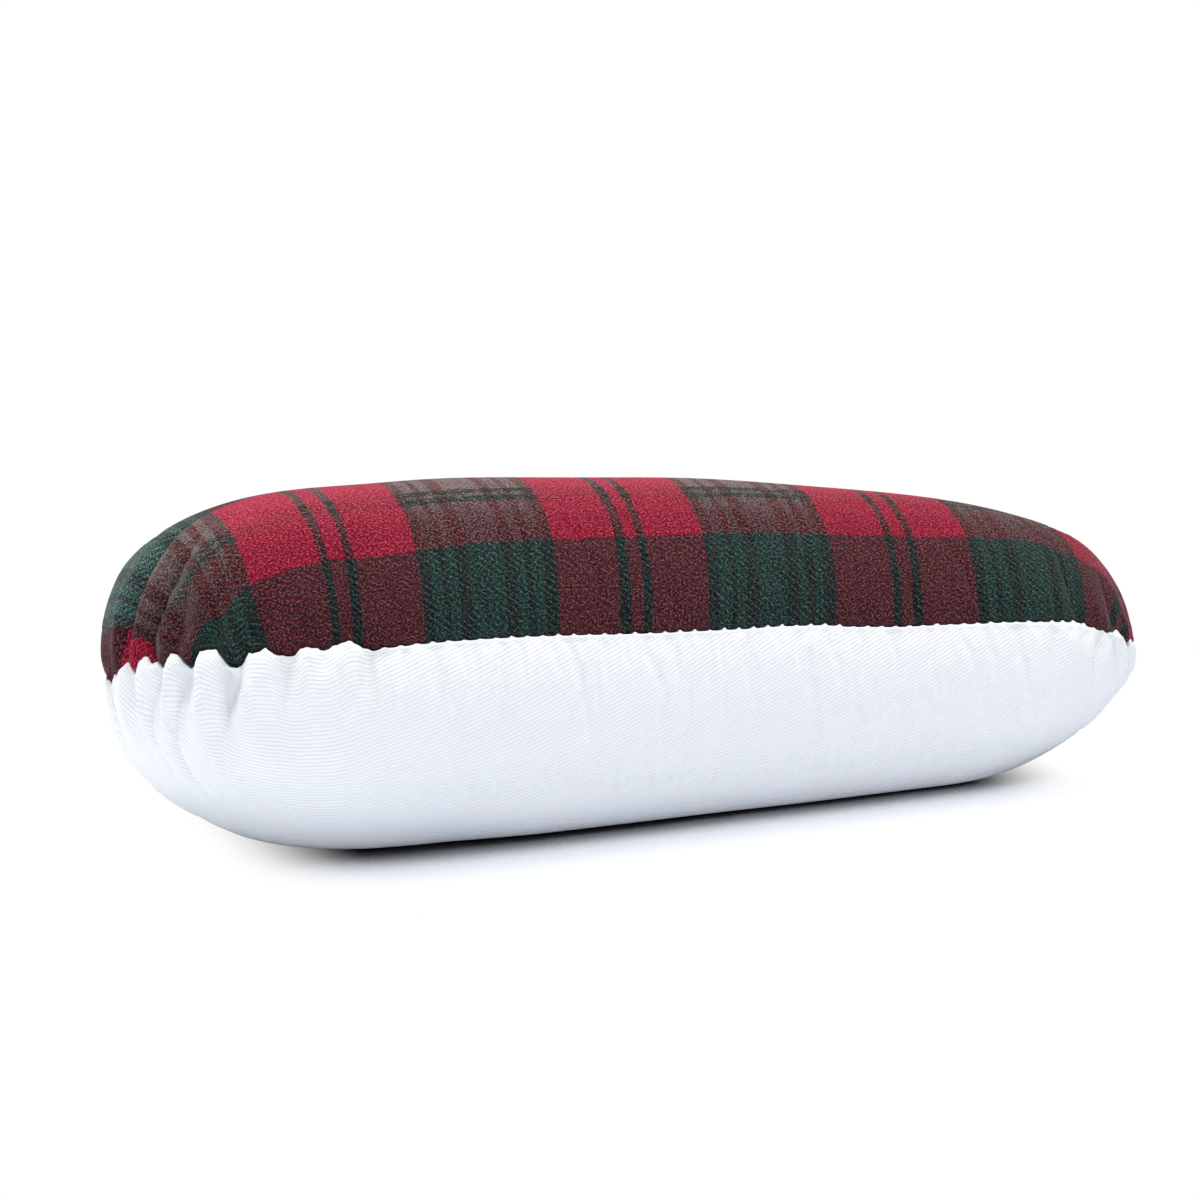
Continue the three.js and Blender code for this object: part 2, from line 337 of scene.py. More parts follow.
# Single folds: which half, a line of places along the seam and away from it, how deep, how wide
CREASES = (
    (WOOL, ((25.9, 0), (26.7, 9.5), (29.7, 15), (32.7, 23.5), (36, 32), (40, 50)), 6.4, 2.2),
    (WOOL, ((14, 0), (18, 12), (20.2, 21.6), (23.5, 30), (28, 50)), 5.8, 2.3),
    (WOOL, ((34.8, 0), (37, 8), (41, 24)), 3.0, 2.0),
    (WOOL, ((46.2, 0), (49, 10), (53, 22)), 1.2, 2.4),
    (WOOL, ((4, 0), (7, 12), (10, 34)), 1.0, 2.6),
    (WOOL, ((63.8, 0), (66, 14)), 0.7, 2.0),
    (WOOL, ((-9, 0), (-12, 12), (-17, 40)), 2.2, 2.0),
    (WOOL, ((-24, 0), (-27, 12), (-33, 36)), 1.9, 2.0),
    (WOOL, ((-41, 0), (-44, 12), (-50, 30)), 1.5, 2.2),
    (WOOL, ((352, 0), (352, 20)), 0.9, 2.4),
    (WOOL, ((369, 0), (367, 24)), 1.7, 2.2),
    (COTTON, ((40.8, 0), (36.8, 6.6), (35, 10.9), (32.4, 13.5), (30, 18.7), (27.5, 24.1), (26, 46)),
     2.7, 1.8),
    (COTTON, ((55.5, 0), (53.8, 6.6), (49.2, 15.6), (45, 20.6), (40, 38)), 2.4, 1.9),
    (COTTON, ((30.5, 0), (27.4, 7.8), (24.2, 11.9), (20.5, 18.3), (18, 46)), 1.9, 1.6),
    (COTTON, ((19.1, 0), (16.5, 9), (13.5, 38)), 2.0, 1.6),
    (COTTON, ((70, 0), (67, 12), (61, 36)), 1.4, 2.8),
    (COTTON, ((93.9, 0), (92, 14), (90, 32)), 0.9, 2.2),
    (COTTON, ((81.5, 1), (80.8, 20)), 0.35, 1.3),
    (COTTON, ((88.5, 1), (88, 14.6), (86.4, 20), (85, 28)), 1.0, 1.5),
    (COTTON, ((112, 2), (110.5, 24)), 0.22, 1.6),
    (COTTON, ((124, 2), (122, 22)), 0.18, 1.8),
    (COTTON, ((100.3, 12.9), (98.9, 17.3), (97, 22.3), (95.8, 27.7), (95.3, 33.8), (95.5, 46)),
     -0.4, 1.0),
    (COTTON, ((320.5, 4), (320.7, 28)), 1.1, 2.2),
    (COTTON, ((342.5, 2), (340, 11), (340, 19), (344, 36)), 3.0, 1.7),
    (COTTON, ((350, 2), (353, 10), (356, 18), (361, 32)), 2.4, 1.5),
    (COTTON, ((366, 0), (366, 13), (369, 30)), 1.8, 2.0),
    (COTTON, ((-14, 0), (-12, 12), (-11, 30)), 1.1, 1.8),
    (COTTON, ((-31, 0), (-28, 12), (-26, 30)), 1.0, 1.8),
)


CREASE_RISE = {WOOL: 2.5, COTTON: 5.0}
CREASE_FADE = 1.6
CREASE_SHARPNESS = 1.3
CREASE_BANK = (0.3, 3.2, 2.0)


def crease_field(half, away):
    """How far the single folds draw the cloth in, with a low bank on either side of each."""
    out = np.zeros_like(away)
    bank, bank_place, bank_width = CREASE_BANK
    for owner, line, deep, wide in CREASES:
        if owner != half:
            continue
        places, starts = np.array(line, float).T
        gap = short_way(RUNS[:, None] - np.interp(away, starts, places))
        share = np.clip((away - starts[0]) / (starts[-1] - starts[0]), 0, 1)
        fade = (1 - share ** CREASE_FADE) * (1 - np.exp(-away / CREASE_RISE[half]))
        fade = fade * smooth_step((away - starts[0] + 3) / 3)
        banks = bank * np.exp(-((np.abs(gap) - bank_place * wide) / (bank_width * wide)) ** 2)
        dip = np.exp(-np.abs(gap / wide) ** CREASE_SHARPNESS) - banks
        out -= deep * dip * fade
    return out


CRINKLES = 260
CRINKLE_WIDTH = (1.1, 2.6)
CRINKLE_LENGTH = (6, 22)
CRINKLE_DEPTH = (-0.42, 0.34)
CRINKLE_LEAN = (-0.25, 0.25)


def crinkle_field(half, away):
    """Small short wrinkles where the cloth is gathered, and faint ones all along the seam."""
    rng = np.random.RandomState(31 + half)
    out = np.zeros_like(away)
    for _ in range(CRINKLES):
        middle = rng.uniform(0, LOOP)
        near = min(middle, LOOP - middle)
        held = 1 - 0.82 * smooth_step((near - 85) / 40) * (1 - smooth_step((near - 325) / 30))
        wide = rng.uniform(*CRINKLE_WIDTH)
        long = rng.uniform(*CRINKLE_LENGTH)
        deep = rng.uniform(*CRINKLE_DEPTH) * held
        lean = rng.uniform(*CRINKLE_LEAN)
        gap = short_way(RUNS[:, None] - middle - lean * away)
        bump = np.exp(-(gap / wide) ** 2) * np.exp(-(away / long) ** 2) * (1 - np.exp(-away / 1.5))
        out += np.where(np.abs(gap) < 4 * wide, deep * bump, 0)
    return out


UNEVEN_WAVES = 26
UNEVEN_DEPTH = 0.32


def uneven_field(away, seed):
    """Gentle unevenness of a stuffed form."""
    rng = np.random.RandomState(seed)
    out = np.zeros_like(away)
    around = 2 * np.pi * RUNS / LOOP
    for _ in range(UNEVEN_WAVES):
        turns = rng.randint(2, 15)
        across = rng.uniform(0.01, 0.06)
        start = rng.uniform(0, 2 * np.pi)
        out += np.sin(turns * around[:, None] + across * away + start) * 0.6 / turns
    return UNEVEN_DEPTH * out * smooth_step(away / 12)


BELLY_PUSH = 3.0
BELLY_PLACE = (58, 17)


def belly_fill(away):
    """The weight of the filling pushes the cotton out in front, just above the table."""
    held = smooth_step((SEAM_X + 95) / 45) * (1 - smooth_step((SEAM_X - 85) / 45)) * (SIDE_SIGN > 0)
    return BELLY_PUSH * held[:, None] * hump(away, *BELLY_PLACE)


# Cloth simulation of the gathered belt beside the seam
BELT_ROWS = 41
BELT_EVERY = 2
BELT_FRAMES = 16
BELT_SLIM = 1.75
BELT_LIMIT = 3.0
BELT_MASS = 0.002
BELT_PRESSURE = 150
BELT_GROWTH = -0.035
BELT_TENSION = 15
BELT_SHEAR = 5
BELT_BENDING = 0.1


def belt_cloth(half, belt):
    """Where the belt's points go when the filling presses them out; both its edges are held."""
    count = belt.shape[0]
    k = np.arange(count)
    follow = (k + 1) % count
    faces = []
    for j in range(BELT_ROWS - 1):
        quads = np.stack([k, k, follow, follow], 1) * BELT_ROWS + np.array([j, j + 1, j + 1, j])
        faces.extend((quads if half == COTTON else quads[:, ::-1]).tolist())
    mesh = bpy.data.meshes.new("belt")
    mesh.from_pydata((belt.reshape(-1, 3) * MM).tolist(), [], faces)
    piece = bpy.data.objects.new("belt", mesh)
    scene = bpy.context.scene
    scene.collection.objects.link(piece)
    held = piece.vertex_groups.new(name="held")
    edges = np.array([0, 1, BELT_ROWS - 3, BELT_ROWS - 2, BELT_ROWS - 1])
    held.add((k[:, None] * BELT_ROWS + edges).ravel().tolist(), 1.0, "REPLACE")
    cloth = piece.modifiers.new("cloth", "CLOTH")
    cloth.point_cache.frame_start = 1
    cloth.point_cache.frame_end = BELT_FRAMES
    settings = cloth.settings
    settings.quality = 4
    settings.mass = BELT_MASS
    settings.vertex_group_mass = held.name
    settings.effector_weights.gravity = 0
    settings.use_pressure = True
    settings.uniform_pressure_force = BELT_PRESSURE
    settings.shrink_min = BELT_GROWTH
    settings.tension_stiffness = settings.compression_stiffness = BELT_TENSION
    settings.shear_stiffness = BELT_SHEAR
    settings.bending_stiffness = BELT_BENDING
    for tick in range(1, BELT_FRAMES + 1):
        scene.frame_set(tick)
    result = piece.evaluated_get(bpy.context.evaluated_depsgraph_get()).to_mesh()
    places = np.empty(len(result.vertices) * 3, np.float32)
    result.vertices.foreach_get("co", places)
    scene.frame_set(1)
    bpy.data.objects.remove(piece)
    bpy.data.meshes.remove(mesh)
    return places.reshape(belt.shape).astype(float) / MM


def swollen(half, points, ways):
    """Starts slimmer beside the seam and lets the cloth there swell, within a limit."""
    points = points.copy()
    slim = BELT_SLIM * np.sin(np.linspace(0, np.pi, BELT_ROWS))
    points[:, :BELT_ROWS] -= ways[:, :BELT_ROWS] * slim[None, :, None]
    belt = points[::BELT_EVERY, :BELT_ROWS]
    moved = belt_cloth(half, belt) - belt
    far = np.maximum(np.linalg.norm(moved, axis=-1, keepdims=True), 1e-9)
    moved *= BELT_LIMIT / far * np.tanh(far / BELT_LIMIT)
    moved = np.concatenate([moved, moved[:1]])
    place = np.arange(COLUMNS) / BELT_EVERY
    before = place.astype(int)
    share = (place - before)[:, None, None]
    points[:, :BELT_ROWS] += moved[before] * (1 - share) + moved[before + 1] * share
    return points


STITCH_PULL = 0.12
TOOTH_HEIGHT = 0.7
RISE_REACH = 30
SEAM_DRAW = 0.9
SEAM_DRAW_REACH = {WOOL: 6.0, COTTON: 4.0}


def surface_rows(half):
    """The outer face of one half, gathered along the seam, and each point's distance from the seam."""
    rows, away, long = base_rows(half, np.concatenate([[0.0], SURFACE_STEPS]))
    ways = outward_ways(rows, half)
    push = gather_field(half, away) + crease_field(half, away) + crinkle_field(half, away)
    push += uneven_field(away, 5 + half)
    push *= 1 - smooth_step((away - 38) / 25) * 0.6
    if half == COTTON:
        push += belly_fill(away)
    push -= STITCH_PULL * (1 - TEETH)[:, None] * np.exp(-away / 2.2)
    drawn = SEAM_DRAW * smooth_step(SWING / 2.2)
    if half == WOOL:
        drawn *= 1 + 1.1 * smooth_step((NEAR_RUNS - 6) / 14)
    push -= drawn[:, None] * np.exp(-away / SEAM_DRAW_REACH[half])
    lift = RISE[:, None] * (1 - smooth_step(away / RISE_REACH))
    lift = lift + TOOTH_HEIGHT * (TEETH - 0.15)[:, None] * np.exp(-away / 1.2)
    points = rows + ways * push[..., None]
    points[..., 2] += lift
    points = swollen(half, points, ways)
    return points, away, long


SURFACES = {half: surface_rows(half) for half in (WOOL, COTTON)}


def cover_rows(half):
    """The cover's outer face, from the hidden edge of its turned-in allowance up to the middle."""
    points, away, long = SURFACES[half]
    lip = LIP[half]
    seam = points[:, 0]
    turned, gone = [], []
    for inward in HEM_PLACES:
        place = seam + INWARD * (lip + inward - 1.0)
        place[:, 2] += half * SEAM_GAP / 2
        turned.append(place)
        gone.append(-lip * math.pi / 2 - inward)
    for i in range(LIP_STEPS):
        turn = i / LIP_STEPS * math.pi / 2
        place = seam + INWARD * (lip * (1 - math.sin(turn)))
        place[:, 2] += half * (SEAM_GAP / 2 + lip * (1 - math.cos(turn)))
        turned.append(place)
        gone.append(-lip * (math.pi / 2 - turn))
    outer = np.concatenate([np.stack(turned, 1), points[:, 1:]], 1)
    before = np.repeat(np.array(gone)[None], COLUMNS, 0)
    return outer, np.concatenate([before, away[:, 1:]], 1), long


# How far the cloth is pulled askew, by place along and across: millimetres along, then across
PULL_ALONG = (-205, -185, -165, -145, -125, -115, -100, -70, -30, 20, 70, 110, 135, 160)
PULL_ACROSS = (0, 22, 44, 66, 85)
PULLED_ALONG = (
    (19, 16, 14, 13, 13), (17, 13, 9, 8, 8), (14, 11, 6, 5, 5), (10, 7, 3.4, 2.5, 2.6), (3, 1, 0, 0, 1),
    (0.2, -1.2, -1.3, -0.8, 0.1), (0, -1.4, -2.5, -2, -1.2), (1.6, -0.4, -2.5, -3.4, -3.4),
    (1.3, -1.8, -4.7, -5.6, -5.5), (1, -3, -5.7, -6.5, -6.8), (0.6, -3.2, -6.3, -7.5, -8.3),
    (-2.4, -5.2, -7.3, -8.5, -9.4), (-6.5, -8.3, -8.4, -9.4, -10.5), (-9.7, -11, -11, -11.4, -12.3),
)
PULLED_ACROSS = (
    (-8, -5, 2, 8, 9), (-6, -3, 5, 15, 15), (-4, 0, 7, 19, 18), (-1, 1.6, 3.6, 12, 15), (1, 4, 4.5, 6, 9),
    (1, 4.2, 3.6, 3.9, 6.6), (1, 4.5, 2.2, 0.7, 3), (0, 1, -1, -2.4, -1), (0, 0, -1.8, -2, 0),
    (0, -1.4, -1.8, -1, 0), (0, 0.4, 0.5, 0, 0), (1, 1.5, 1.4, 1, 0), (2.6, 4.3, 1.4, -2, -4),
    (-1, -1.5, -5.6, -9, -10),
)


def table_value(table, along, across):
    """Looks a smooth table up."""
    xs, ys = np.array(PULL_ALONG, float), np.array(PULL_ACROSS, float)
    table = np.array(table, float)
    along = np.clip(along, xs[0], xs[-1])
    across = np.clip(across, ys[0], ys[-1])
    i = np.clip(np.searchsorted(xs, along, side="right") - 1, 0, len(xs) - 2)
    j = np.clip(np.searchsorted(ys, across, side="right") - 1, 0, len(ys) - 2)
    s = (along - xs[i]) / (xs[i + 1] - xs[i])
    t = (across - ys[j]) / (ys[j + 1] - ys[j])
    low = table[i, j] * (1 - s) + table[i + 1, j] * s
    high = table[i, j + 1] * (1 - s) + table[i + 1, j + 1] * s
    return low * (1 - t) + high * t


def eased_drill(along):
    """The cotton's grain is pulled straight round the full end."""
    places = np.linspace(-260, 40, 601)
    rate = 0.58 + 0.42 * smooth_step((places + 140) / 130)
    run = np.concatenate([[0], np.cumsum(0.5 * (rate[1:] + rate[:-1]) * np.diff(places))])
    return np.where(along > 0, along, np.interp(along, places, run - np.interp(0, places, run)))


def flat_places(half, away, long):
    """Where each point was on the flat cloth: along the roll, and across from the near seam."""
    left = np.argmin(np.abs(SEAM_X[:HALF_COLUMNS] - POLE_LEFT))
    right = np.argmin(np.abs(SEAM_X[:HALF_COLUMNS] - POLE_RIGHT))
    pole_long = np.where(SEAM_X < 0, long[left], long[right])
    capped = (SEAM_X < POLE_LEFT) | (SEAM_X > POLE_RIGHT)
    turn = np.arctan2(np.abs(SEAM_X - SPINE_X), -SEAM_Y)
    end = np.sign(SEAM_X - SPINE_X)
    rest = long[:, None] - away
    fanned = SPINE_X[:, None] + (end * np.sin(turn))[:, None] * rest
    along = np.where(capped[:, None], fanned, SEAM_X[:, None])
    fanned = pole_long[:, None] - np.cos(turn)[:, None] * rest
    straight = np.where(SIDE_SIGN[:, None] > 0, away, long[:, None] + rest)
    across = np.where(capped[:, None], fanned, straight)
    if half == COTTON:
        return np.stack([eased_drill(along), across], -1)
    back = 1 - smooth_step((across - 85) / 75)
    return np.stack([
        along + table_value(PULLED_ALONG, along, across),
        across + table_value(PULLED_ACROSS, along, across) * back,
    ], -1)


def closed_mesh(name, rows, flat=None, every=1):
    """A closed body over rows of columns: the first and the last row each fold onto a line."""
    rows = rows[::every]
    seam_x = SEAM_X[::every]
    count, steps = rows.shape[0], rows.shape[1] - 2
    capped = (seam_x <= POLE_LEFT) | (seam_x >= POLE_RIGHT)
    folded = np.empty(count, int)
    keepers, seen = [], {}
    for k in range(count):
        key = ("end", seam_x[k] < 0) if capped[k] else ("pair", min(k, (count - k) % count))
        if key not in seen:
            seen[key] = len(keepers)
            keepers.append(k)
        folded[k] = seen[key]
    first, last = count * steps, count * steps + len(keepers)

    def points(values):
        middle = values[:, 1:-1].reshape(-1, values.shape[-1])
        return np.concatenate([middle, values[keepers, 0], values[keepers, -1]])

    k = np.arange(count)
    follow = (k + 1) % count
    faces = []
    for j in range(steps - 1):
        here, there = k * steps + j, follow * steps + j
        faces.extend(np.stack([here, here + 1, there + 1, there], 1).tolist())
    for a, b in zip(k.tolist(), follow.tolist()):
        top = list(dict.fromkeys([first + int(folded[b]), first + int(folded[a])]))
        low = list(dict.fromkeys([last + int(folded[a]), last + int(folded[b])]))
        faces.append([a * steps, b * steps] + top)
        faces.append([b * steps + steps - 1, a * steps + steps - 1] + low)
    mesh = bpy.data.meshes.new(name)
    mesh.from_pydata(laid(points(rows)).tolist(), [], faces)
    if flat is not None:
        layer = mesh.uv_layers.new(name="cloth")
        corner = np.empty(len(mesh.loops), int)
        mesh.loops.foreach_get("vertex_index", corner)
        layer.data.foreach_set("uv", (points(flat) * MM)[corner].astype(np.float32).ravel())
    return finished(name, mesh)


def finished(name, mesh):
    """A mesh with smooth faces that all look outwards, as an object of the scene."""
    mesh.polygons.foreach_set("use_smooth", np.ones(len(mesh.polygons), bool))
    mesh.update()
    tidy = bmesh.new()
    tidy.from_mesh(mesh)
    bmesh.ops.recalc_face_normals(tidy, faces=tidy.faces)
    tidy.to_mesh(mesh)
    tidy.free()
    piece = bpy.data.objects.new(name, mesh)
    bpy.context.scene.collection.objects.link(piece)
    return piece


def make_cover(name, half):
    """One cloth with its wall and its turned-in allowance, thinner where it bends into the seam."""
    outer, away, long = cover_rows(half)
    ways = outward_ways(outer, half)
    ways[:, 0] = ways[:, 1]
    thin = 0.55 + 0.45 * smooth_step((away - 1) / 5)
    inner = outer - ways * (THICKNESS[half] * thin)[..., None]
    flat = flat_places(half, away, long)
    rows = np.concatenate([outer[:, ::-1], inner], 1)
    return closed_mesh(name, rows, np.concatenate([flat[:, ::-1], flat], 1))


FILLING_STEPS = (0.0, 5.0, 9.0, 14.0, 20.0, 27.0, 34.0)
FILLING_INSET = 2.6
FILLING_INSET_AT_ENDS = 5.6
SLOT = {WOOL: 2.4, COTTON: 1.9}
SLOT_BEHIND_HEM = 3.0
SLOT_WALL = 0.3


def make_filling(name):
    """Packed sawdust inside both covers, with a slot all round for the turned-in allowances."""
    faces = {}
    for half, slot in SLOT.items():
        rows, away, _ = base_rows(half, np.array(FILLING_STEPS))
        ways = outward_ways(rows, half)
        ends = np.maximum(FULL_END, SLIM_END)[:, None]
        inset = FILLING_INSET + FILLING_INSET_AT_ENDS * ends * (1 - smooth_step((away - 20) / 30))
        rows = rows - ways * inset[..., None]
        rows[..., 2] += RISE[:, None] * (1 - smooth_step(away / RISE_REACH))
        near = rows[:, 0] + INWARD * 1.0
        near[:, 2] = RISE + half * slot
        deep = rows[:, 0] + INWARD * (ALLOWANCE + SLOT_BEHIND_HEM)
        deep[:, 2] = RISE * 0.8 + half * slot
        above = np.maximum(half * (rows[:, 1:, 2] - RISE[:, None]), slot + SLOT_WALL)
        rows[:, 1:, 2] = RISE[:, None] + half * above
        faces[half] = np.concatenate([np.stack([deep, near], 1), rows[:, 1:]], 1)
    rows = np.concatenate([faces[WOOL][:, ::-1], faces[COTTON]], 1)
    return closed_mesh(name, rows, every=3)


def thread_mesh(name, path, ring):
    """A thread along points in the roll's own frame; a ring has no ends."""
    path = laid(path)
    ahead = np.roll(path, -1, axis=0) - np.roll(path, 1, axis=0)
    if not ring:
        ahead[0], ahead[-1] = path[1] - path[0], path[-1] - path[-2]
    ahead /= np.linalg.norm(ahead, axis=-1, keepdims=True)
    up = np.array([0, math.sin(ROLLED_BACK), math.cos(ROLLED_BACK)])
    across = np.cross(ahead, up)
    across /= np.linalg.norm(across, axis=-1, keepdims=True)
    above = np.cross(across, ahead)
    sides = THREAD_SIDES
    turn = (np.arange(sides) / sides * 2 * np.pi)[None, :, None]
    circle = across[:, None] * np.cos(turn) + above[:, None] * np.sin(turn)
    points = (path[:, None] + THREAD_RADIUS * MM * circle).reshape(-1, 3)
    faces = []
    for i in range(len(path) if ring else len(path) - 1):
        n = (i + 1) % len(path)
        for j in range(sides):
            m = (j + 1) % sides
            faces.append([i * sides + j, i * sides + m, n * sides + m, n * sides + j])
    if not ring:
        faces.append(list(range(sides)))
        faces.append([(len(path) - 1) * sides + j for j in reversed(range(sides))])
    mesh = bpy.data.meshes.new(name)
    mesh.from_pydata(points.tolist(), [], faces)
    return finished(name, mesh)


def seam_thread_path(half):
    """One thread of the machine seam, on the hidden face of an allowance, dipping at every stitch."""
    inset = THREAD_INSET + THREAD_INSET_BELOW_FOLDS * FULL_END
    path = np.stack([SEAM_X, SEAM_Y, RISE], -1) + INWARD * inset[:, None]
    dip = THREAD_DIP * np.cos(2 * np.pi * RUNS / STITCH_PITCH * 2)
    path[:, 2] += half * (THREAD_DEPTH[half] + dip)
    return path


def closing_path():
    """Hand stitches over the far side of the seam, to and fro, sunk a little at their ends."""
    steps = np.arange(CLOSING_STITCHES * CLOSING_STEPS + 1) / CLOSING_STEPS
    places = -CLOSING_STITCHES * CLOSING_PITCH / 2 + steps * CLOSING_PITCH
    swing = CLOSING_BITE * np.cos(np.pi * steps)
    far = np.where(SIDE_SIGN < 0)[0][::-1]
    path = []
    for x, z in zip(places, swing):
        k = far[np.argmin(np.abs(SEAM_X[far] - x))]
        rows, away, _ = SURFACES[WOOL if z >= 0 else COTTON]
        beside = np.interp(CLOSING_BITE, away[k], rows[k, :, 1])
        out = 0.32 - 0.25 * (abs(z) / CLOSING_BITE) ** 4
        path.append([x, beside + out, RISE[k] + z])
    return np.array(path)


# Materials

class Graph:
    """Builds a material's nodes."""

    def __init__(self, name):
        self.material = bpy.data.materials.new(name)
        self.material.use_nodes = True
        self.tree = self.material.node_tree
        self.tree.nodes.clear()

    def node(self, kind, **settings):
        node = self.tree.nodes.new(kind)
        for key, value in settings.items():
            setattr(node, key, value)
        return node

    def put(self, socket, value):
        if isinstance(value, bpy.types.NodeSocket):
            self.tree.links.new(value, socket)
        else:
            socket.default_value = value

    def math(self, operation, a, b=0.0, c=0.0):
        node = self.node("ShaderNodeMath", operation=operation)
        for socket, value in zip(node.inputs, (a, b, c)):
            self.put(socket, value)
        return node.outputs[0]

    def times(self, a, b):
        return self.math("MULTIPLY", a, b)

    def line(self, value, slope, base):
        """Value times slope, plus base."""
        return self.math("MULTIPLY_ADD", value, slope, base)

    def between(self, value, low, high, bottom=0.0, top=1.0, how="SMOOTHSTEP"):
        """Runs from bottom to top while the value runs from low to high."""
        node = self.node("ShaderNodeMapRange", interpolation_type=how)
        self.put(node.inputs["Value"], value)
        for name, number in (("From Min", low), ("From Max", high), ("To Min", bottom), ("To Max", top)):
            node.inputs[name].default_value = number
        return node.outputs[0]

    def split(self, value, kind="ShaderNodeSeparateXYZ"):
        node = self.node(kind)
        self.put(node.inputs[0], value)
        return node.outputs

    def noise(self, vector, scale, detail=2.0, rough=0.5, output="Fac"):
        node = self.node("ShaderNodeTexNoise")
        self.put(node.inputs["Vector"], vector)
        self.put(node.inputs["Scale"], scale)
        self.put(node.inputs["Detail"], detail)
        self.put(node.inputs["Roughness"], rough)
        return node.outputs[output]

    def mix(self, share, a, b, blend="MIX"):
        node = self.node("ShaderNodeMix", data_type="RGBA", blend_type=blend)
        self.put(node.inputs[0], share)
        self.put(node.inputs[6], a)
        self.put(node.inputs[7], b)
        return node.outputs[2]

    def ramp(self, value, stops, how="CONSTANT"):
        node = self.node("ShaderNodeValToRGB")
        band = node.color_ramp
        band.interpolation = how
        while len(band.elements) > 1:
            band.elements.remove(band.elements[-1])
        for index, (place, colour) in enumerate(stops):
            stop = band.elements[0] if index == 0 else band.elements.new(place)
            stop.position = place
            stop.color = colour
        self.put(node.inputs[0], value)
        return node.outputs[0]

    def shaded(self, colour, shades):
        """Multiplies the red, green and blue of a colour by three values."""
        node = self.node("ShaderNodeCombineXYZ")
        for socket, shade in zip(node.inputs, shades):
            self.put(socket, shade)
        return self.mix(1.0, colour, node.outputs[0], "MULTIPLY")

    def cloth_places(self):
        """Where on the flat cloth: in metres together, then in millimetres along and across."""
        place = self.node("ShaderNodeUVMap", uv_map="cloth").outputs[0]
        parts = self.split(place)
        return place, self.times(parts[0], 1000), self.times(parts[1], 1000)

    def surface(self, colour, height, strength, distance, settings):
        """Finishes the material: a colour, a bump from a height, and constant settings of the shader."""
        bump = self.node("ShaderNodeBump")
        bump.inputs["Strength"].default_value = strength
        bump.inputs["Distance"].default_value = distance
        self.put(bump.inputs["Height"], height)
        shader = self.node("ShaderNodeBsdfPrincipled")
        self.put(shader.inputs["Base Color"], colour)
        for name, value in settings.items():
            shader.inputs[name].default_value = value
        self.put(shader.inputs["Normal"], bump.outputs[0])
        return self.finish(shader.outputs[0])

    def finish(self, shader):
        out = self.node("ShaderNodeOutputMaterial")
        self.put(out.inputs["Surface"], shader)
        return self.material


# The tartan: stripes by millimetres within one repeat, and the yarns' pitch
SETT = 90.1
DARK = (0.0085, 0.007, 0.008, 1)
INK = (0.0048, 0.0042, 0.005, 1)
GREEN = (0.008, 0.0275, 0.0225, 1)
RED = (0.226, 0.0045, 0.023, 1)
MAROON_TINT = (1.15, 0.7, 0.68, 1)
BROWN_TINT = (1.04, 1.25, 0.78, 1)
NONE, SOME, FULL = (0, 0, 0, 1), (0.6, 0.6, 0.6, 1), (1, 1, 1, 1)
WARP_STRIPES = (
    (0, DARK), (3.5, GREEN), (6.7, DARK), (9.0, GREEN), (12.0, DARK), (16.0, GREEN), (26.3, DARK),
    (30.0, GREEN), (33.0, DARK), (35.5, GREEN), (38.3, DARK), (42.2, RED), (61.9, INK), (64.6, RED),
    (68.8, INK), (71.5, RED),
)
WEFT_STRIPES = ((0, GREEN), (42.2, RED))
THIN_PICKS = ((0, NONE), (59.6, FULL), (62.4, SOME), (64.2, FULL), (67.0, NONE))
WARP_START, WARP_PITCH = 0.7, 0.66
WEFT_START, WEFT_PITCH = -12.0, 0.59

# Where sheen and light are painted on: across from the crown's middle, and along from the full end
CROWN_MIDDLE = 80.0
CREST_FADE = (46, 16)
BODY_FADE = (-230, -105)
TIP_FADE = (-125, -170)
# the colour of the sheen painted along the crown
PAINTED_CREST_SHEEN = (0.078, 0.077, 0.07, 1)
LOOSE_FIBRE = (0.05, 0.047, 0.048, 1)
LOOSE_FIBRE_ON_MAROON = (0.044, 0.05, 0.043, 1)
WOOL_SURFACE = {
    "Roughness": 0.95, "Specular IOR Level": 0.1,
    "Sheen Weight": 0.1, "Sheen Roughness": 0.38, "Sheen Tint": (0.95, 0.95, 0.92, 1),
}


